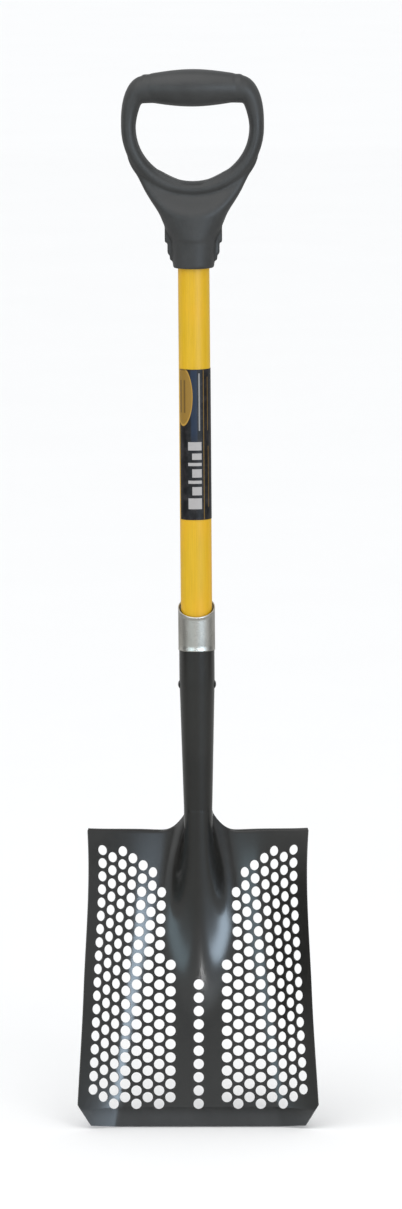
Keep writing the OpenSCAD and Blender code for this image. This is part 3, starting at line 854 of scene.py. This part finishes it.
class SHOVEL_OT_scoop(bpy.types.Operator):
    """Blade, frog and socket, pressed and rolled from one painted sheet"""
    bl_idname = "shovel.scoop"
    bl_label = "Scoop and socket"

    def execute(self, context):
        bm = flat_blank()
        press(bm)
        add_from(bm, rolled_socket())
        piece = add_piece("scoop", bm, paint_finish(), ["blade"], sharp=180)
        wall = piece.modifiers.new("Sheet thickness", "SOLIDIFY")
        wall.thickness, wall.offset = SHEET * MM, -1
        rounding = piece.modifiers.new("Paint-rounded edges", "BEVEL")
        rounding.width, rounding.segments = context.scene.shovel_sizes.rim_round, 2
        rounding.limit_method, rounding.angle_limit = "ANGLE", math.radians(50)
        rounding.harden_normals = True
        return {"FINISHED"}


class SHOVEL_OT_ferrule(bpy.types.Operator):
    """Bare steel ring at the top of the socket, with a slanted, beaded rim"""
    bl_idname = "shovel.ferrule"
    bl_label = "Ferrule"

    def execute(self, context):
        bm = bmesh.new()
        low, high, r = FERRULE_LOW.z, FERRULE_TOP, FERRULE_R
        face, bore = r - 0.12, r - 0.8
        foot_bead = [(r - 0.25, low), (r, low + 0.25), (r, low + 0.9), (face, low + 1.2)]
        wall = [(face, low + i * 6.0) for i in range(1, 6)] + [(face, high - 6)]
        top_bead = [(face, high - 2.6), (r, high - 2.2), (r, high - 0.7), (r - 0.15, high - 0.2),
                    (r - 0.5, high), (r - 1.0, high - 0.15), (r - 1.3, high - 0.6)]
        points = foot_bead + wall + top_bead + [(bore, high - 1.2), (bore, low)]
        turn(bm, add_profile(bm, points, closed=True), steps=120)
        for v in bm.verts:
            share = max(0.0, (v.co.z - SLANT_FROM) / (high - SLANT_FROM))
            v.co.z += share * v.co.y * TOP_SLOPE
        close_up(bm)
        add_piece("ferrule_ring", bm, steel_finish(), ["ferrule"], sharp=60)
        return {"FINISHED"}


class SHOVEL_OT_rivet(bpy.types.Operator):
    """Painted rivet through socket and shaft"""
    bl_idname = "shovel.rivet"
    bl_label = "Socket rivet"

    def execute(self, context):
        bm = bmesh.new()
        end = RIVET_HIGH.x
        seat = end - 1.85
        dome = [(0.01, end), (1.2, end - 0.06), (2.3, end - 0.35), (3.3, end - 0.8),
                (4.0, end - 1.3), (4.35, end - 1.65), (4.4, seat), (3.0, seat)]
        points = dome + [(r, -z) for r, z in reversed(dome)]
        turn(bm, add_profile(bm, points), steps=40)
        middle = Matrix.Translation((0, 0, (RIVET_LOW.z + RIVET_HIGH.z) / 2))
        place = middle @ Matrix.Rotation(math.pi / 2, 4, "Y")
        bmesh.ops.transform(bm, matrix=place, verts=bm.verts)
        bmesh.ops.holes_fill(bm, edges=bm.edges, sides=0)
        close_up(bm)
        add_piece("rivet", bm, paint_finish(), ["socket_rivet"], sharp=60)
        return {"FINISHED"}


class SHOVEL_OT_shaft(bpy.types.Operator):
    """Fibreglass tube with its ends eased"""
    bl_idname = "shovel.shaft"
    bl_label = "Shaft"

    def execute(self, context):
        bm = bmesh.new()
        top, low, bore, ease = SHAFT_HIGH.z, SHAFT_LOW.z, SHAFT_R - SHAFT_WALL, 0.4
        points = [(SHAFT_R - ease, top), (SHAFT_R, top - ease)]
        points += [(SHAFT_R, top - ease + (TAPER_TOP - top + ease) * i / 16) for i in range(1, 17)]
        points += [(SHAFT_TIP_R, low + 0.5), (SHAFT_TIP_R - 0.45, low), (bore, low), (bore, top)]
        turn(bm, add_profile(bm, points, closed=True), steps=112)
        close_up(bm)
        add_piece("shaft", bm, shaft_finish(), ["shaft_tube"])
        return {"FINISHED"}


class SHOVEL_OT_label(bpy.types.Operator):
    """Printed film wrapped round the shaft, with its free edges behind"""
    bl_idname = "shovel.label"
    bl_label = "Label"

    def execute(self, context):
        bm = bmesh.new()
        inner, outer = SHAFT_R + FILM_GAP, SHAFT_R + FILM_GAP + FILM
        low, high, rows = LABEL_LOW.z, LABEL_HIGH.z, 12
        points = [(inner, high)]
        points += [(outer, high + (low - high) * i / rows) for i in range(rows + 1)]
        points += [(inner, low)]
        geom = add_profile(bm, points, closed=True)
        edges = [g for g in geom if isinstance(g, bmesh.types.BMEdge)]
        end = bmesh.ops.contextual_create(bm, geom=edges)["faces"]
        turn(bm, geom + end, steps=100, start=LABEL_START, angle=LABEL_ANGLE)
        bmesh.ops.recalc_face_normals(bm, faces=bm.faces)
        finish = label_finish(outer * MM, high * MM, (high - low) * MM)
        add_piece("label_wrap", bm, finish, ["label"])
        return {"FINISHED"}


class SHOVEL_OT_grip(bpy.types.Operator):
    """One-piece moulded D-grip with its collar and seam ribs"""
    bl_idname = "shovel.grip"
    bl_label = "D-grip"

    def execute(self, context):
        parts = [crossbar(), arms(), throat(), collar()] + [seam_rib(*rib) for rib in RIBS]
        bm = fused(parts, context.scene.shovel_sizes.voxel / MM)
        add_piece("grip", bm, grip_finish(), ["d_grip"], sharp=180)
        return {"FINISHED"}


class SHOVEL_OT_inner(bpy.types.Operator):
    """Finishes for the dowel, plug and pin inside the shaft, which keep their CAD shapes"""
    bl_idname = "shovel.inner"
    bl_label = "Inner parts"

    def execute(self, context):
        made = {
            "shaft_core": filler_finish("Hardwood dowel", (0.42, 0.27, 0.13), (0.62, 0.45, 0.25), 260),
            "shaft_plug": filler_finish("Softwood plug", (0.58, 0.42, 0.24), (0.74, 0.60, 0.40), 180),
            "grip_pin": pin_finish(),
        }
        for name, finish in made.items():
            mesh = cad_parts[name].data
            mesh.materials.clear()
            mesh.materials.append(finish)
        return {"FINISHED"}


def add_panel(name, place, size, colour, power):
    """A soft lamp that faces the middle of the blade."""
    light = bpy.data.lights.new(name, "AREA")
    light.shape, light.size, light.size_y = "RECTANGLE", size[0], size[1]
    light.color, light.energy = colour, power
    lamp = bpy.data.objects.new(name, light)
    lamp.location = place
    lamp.rotation_mode = "QUATERNION"
    lamp.rotation_quaternion = (BLADE_HEART - place).to_track_quat("-Z", "Y")
    lamp.visible_camera = False
    bpy.context.scene.collection.objects.link(lamp)
    return lamp


def direction(azimuth, elevation):
    """Unit vector from the shovel: azimuth from its front, rightwards, and elevation, in degrees."""
    a, e = math.radians(azimuth), math.radians(elevation)
    return Vector((math.sin(a) * math.cos(e), -math.cos(a) * math.cos(e), math.sin(e)))


def flat_panel(name, size, centre, finish, facing=(0, 0, 1), reflected_only=False):
    """A sheet of the stage that faces a given way, and may be seen in reflections only."""
    bm = bmesh.new()
    bmesh.ops.create_grid(bm, x_segments=1, y_segments=1, size=0.5)
    bmesh.ops.scale(bm, vec=(size[0], size[1], 1), verts=bm.verts)
    turned = Vector(facing).to_track_quat("Z", "Y").to_matrix().to_4x4()
    bmesh.ops.transform(bm, matrix=Matrix.Translation(centre) @ turned, verts=bm.verts)
    mesh = bpy.data.meshes.new(name)
    bm.to_mesh(mesh)
    bm.free()
    mesh.materials.append(finish)
    made = bpy.data.objects.new(name, mesh)
    if reflected_only:
        for way in ("camera", "diffuse", "transmission", "volume_scatter", "shadow"):
            setattr(made, "visible_" + way, False)
    bpy.context.scene.collection.objects.link(made)
    return made


class SHOVEL_OT_stage(bpy.types.Operator):
    """Pale floor, soft studio light and the camera"""
    bl_idname = "shovel.stage"
    bl_label = "Stage"

    def execute(self, context):
        scene = context.scene
        scene.view_settings.view_transform = "Standard"
        world = bpy.data.worlds.new("Soft studio")
        world.use_nodes = True
        ground = world.node_tree.nodes["Background"]
        ground.inputs["Color"].default_value = (0.97, 0.985, 1.0, 1)
        ground.inputs["Strength"].default_value = 0.70
        scene.world = world

        floor_z = CAD_BOX[0].z - 0.0005
        floor = grey_finish("Pale floor", (0.93, 0.93, 0.93), (0.95, 0.95, 0.95), 3, 3)
        floor.set(Roughness=0.9)
        floor.shader.inputs["Specular IOR Level"].default_value = 0.1
        flat_panel("floor", (240, 240), (0, 0, floor_z), floor.material)

        # These are seen in reflections only: they keep the gloss paint and the steel dark
        cloth = grey_finish("Dark cloth", (0.36, 0.36, 0.35), (0.42, 0.42, 0.41))
        flat_panel("cloth", (24, 24), (0, 0, floor_z + 0.02), cloth.material, reflected_only=True)
        shelf = Vector((0, 0, 0.275))
        cards = (("ferrule shade", (0.55, 0.25), direction(30, 0) * 0.5 + shelf, 0.45),
                 ("header card", (2.0, 1.5), direction(-2, 27) * 6, 0.10),
                 ("left card", (1.5, 2.4), direction(-82, 6) * 3, 0.06),
                 ("right card", (1.5, 2.4), direction(97, 6) * 3, 0.06))
        for name, size, way, shade in cards:
            board = grey_finish(name.capitalize(), (shade,) * 3, (shade * 1.2,) * 3)
            flat_panel(name, size, BLADE_HEART + way, board.material, -way, reflected_only=True)

        sun = bpy.data.lights.new("sky", "SUN")
        sun.energy, sun.angle = 1.3, math.radians(70)
        lamp = bpy.data.objects.new("sky", sun)
        lamp.rotation_mode = "QUATERNION"
        lamp.rotation_quaternion = (-direction(-25, 62)).to_track_quat("-Z", "Y")
        scene.collection.objects.link(lamp)

        # The windows and the small lamp make the highlights, and the fill lights the front only
        windows = (("blue window", direction(34, 10.5) * 6, (3.4, 1.0), (0.66, 0.83, 1.0), 140),
                   ("left window", direction(-34, 10.5) * 6, (3.4, 1.0), (0.60, 0.86, 1.0), 34),
                   ("camera lamp", direction(2.5, 9.5) * 6, (0.18, 0.18), (1, 1, 1), 9),
                   ("lamp glow", direction(5, 15) * 6.1, (1.0, 0.6), (0.72, 0.88, 1.0), 2))
        for name, way, size, colour, power in windows:
            window = add_panel(name, BLADE_HEART + way, size, colour, power)
            window.visible_diffuse = False
        place = BLADE_HEART + direction(22, 30) * 4
        front = add_panel("front fill", place, (1.5, 1.5), (1, 0.98, 0.95), 24)
        front.visible_glossy = False

        camera = bpy.data.cameras.new("camera")
        camera.sensor_width = SENSOR
        camera.lens = SENSOR * VIEW_AWAY / VIEW_TALL
        camera.clip_start, camera.clip_end = 0.1, 300
        eye = bpy.data.objects.new("camera", camera)
        back = direction(VIEW_TURN, VIEW_RISE)
        right = Vector((math.cos(math.radians(VIEW_TURN)), math.sin(math.radians(VIEW_TURN)), 0))
        eye.location = Vector((0, 0, VIEW_MIDDLE)) + right * VIEW_SIDE + back * VIEW_AWAY
        eye.rotation_mode = "QUATERNION"
        roll = Quaternion(back, math.radians(VIEW_ROLL))
        eye.rotation_quaternion = roll @ (-back).to_track_quat("-Z", "Y")
        scene.collection.objects.link(eye)
        scene.camera = eye
        return {"FINISHED"}


class SHOVEL_PT_sidebar(bpy.types.Panel):
    """Sizes, finishes and a button for each piece"""
    bl_label = "Sifting shovel"
    bl_space_type = "VIEW_3D"
    bl_region_type = "UI"
    bl_category = "Shovel"

    def draw(self, context):
        for group in (context.scene.shovel_sizes, context.scene.shovel_finishes):
            box = self.layout.box()
            for key in group.__annotations__:
                box.prop(group, key)
        for piece in PIECES:
            self.layout.operator(piece.bl_idname)


PIECES = (SHOVEL_OT_stage, SHOVEL_OT_scoop, SHOVEL_OT_ferrule, SHOVEL_OT_rivet, SHOVEL_OT_shaft,
          SHOVEL_OT_label, SHOVEL_OT_grip, SHOVEL_OT_inner)
CLASSES = (ShovelSizes, ShovelFinishes, *PIECES, SHOVEL_PT_sidebar)


def register():
    for cls in CLASSES:
        bpy.utils.register_class(cls)
    bpy.types.Scene.shovel_sizes = PointerProperty(type=ShovelSizes)
    bpy.types.Scene.shovel_finishes = PointerProperty(type=ShovelFinishes)


def unregister():
    del bpy.types.Scene.shovel_finishes
    del bpy.types.Scene.shovel_sizes
    for cls in reversed(CLASSES):
        bpy.utils.unregister_class(cls)


def main():
    register()
    bpy.ops.shovel.stage()
    bpy.ops.shovel.scoop()
    bpy.ops.shovel.ferrule()
    bpy.ops.shovel.rivet()
    bpy.ops.shovel.shaft()
    bpy.ops.shovel.label()
    bpy.ops.shovel.grip()
    bpy.ops.shovel.inner()


if __name__ == "__main__":
    main()
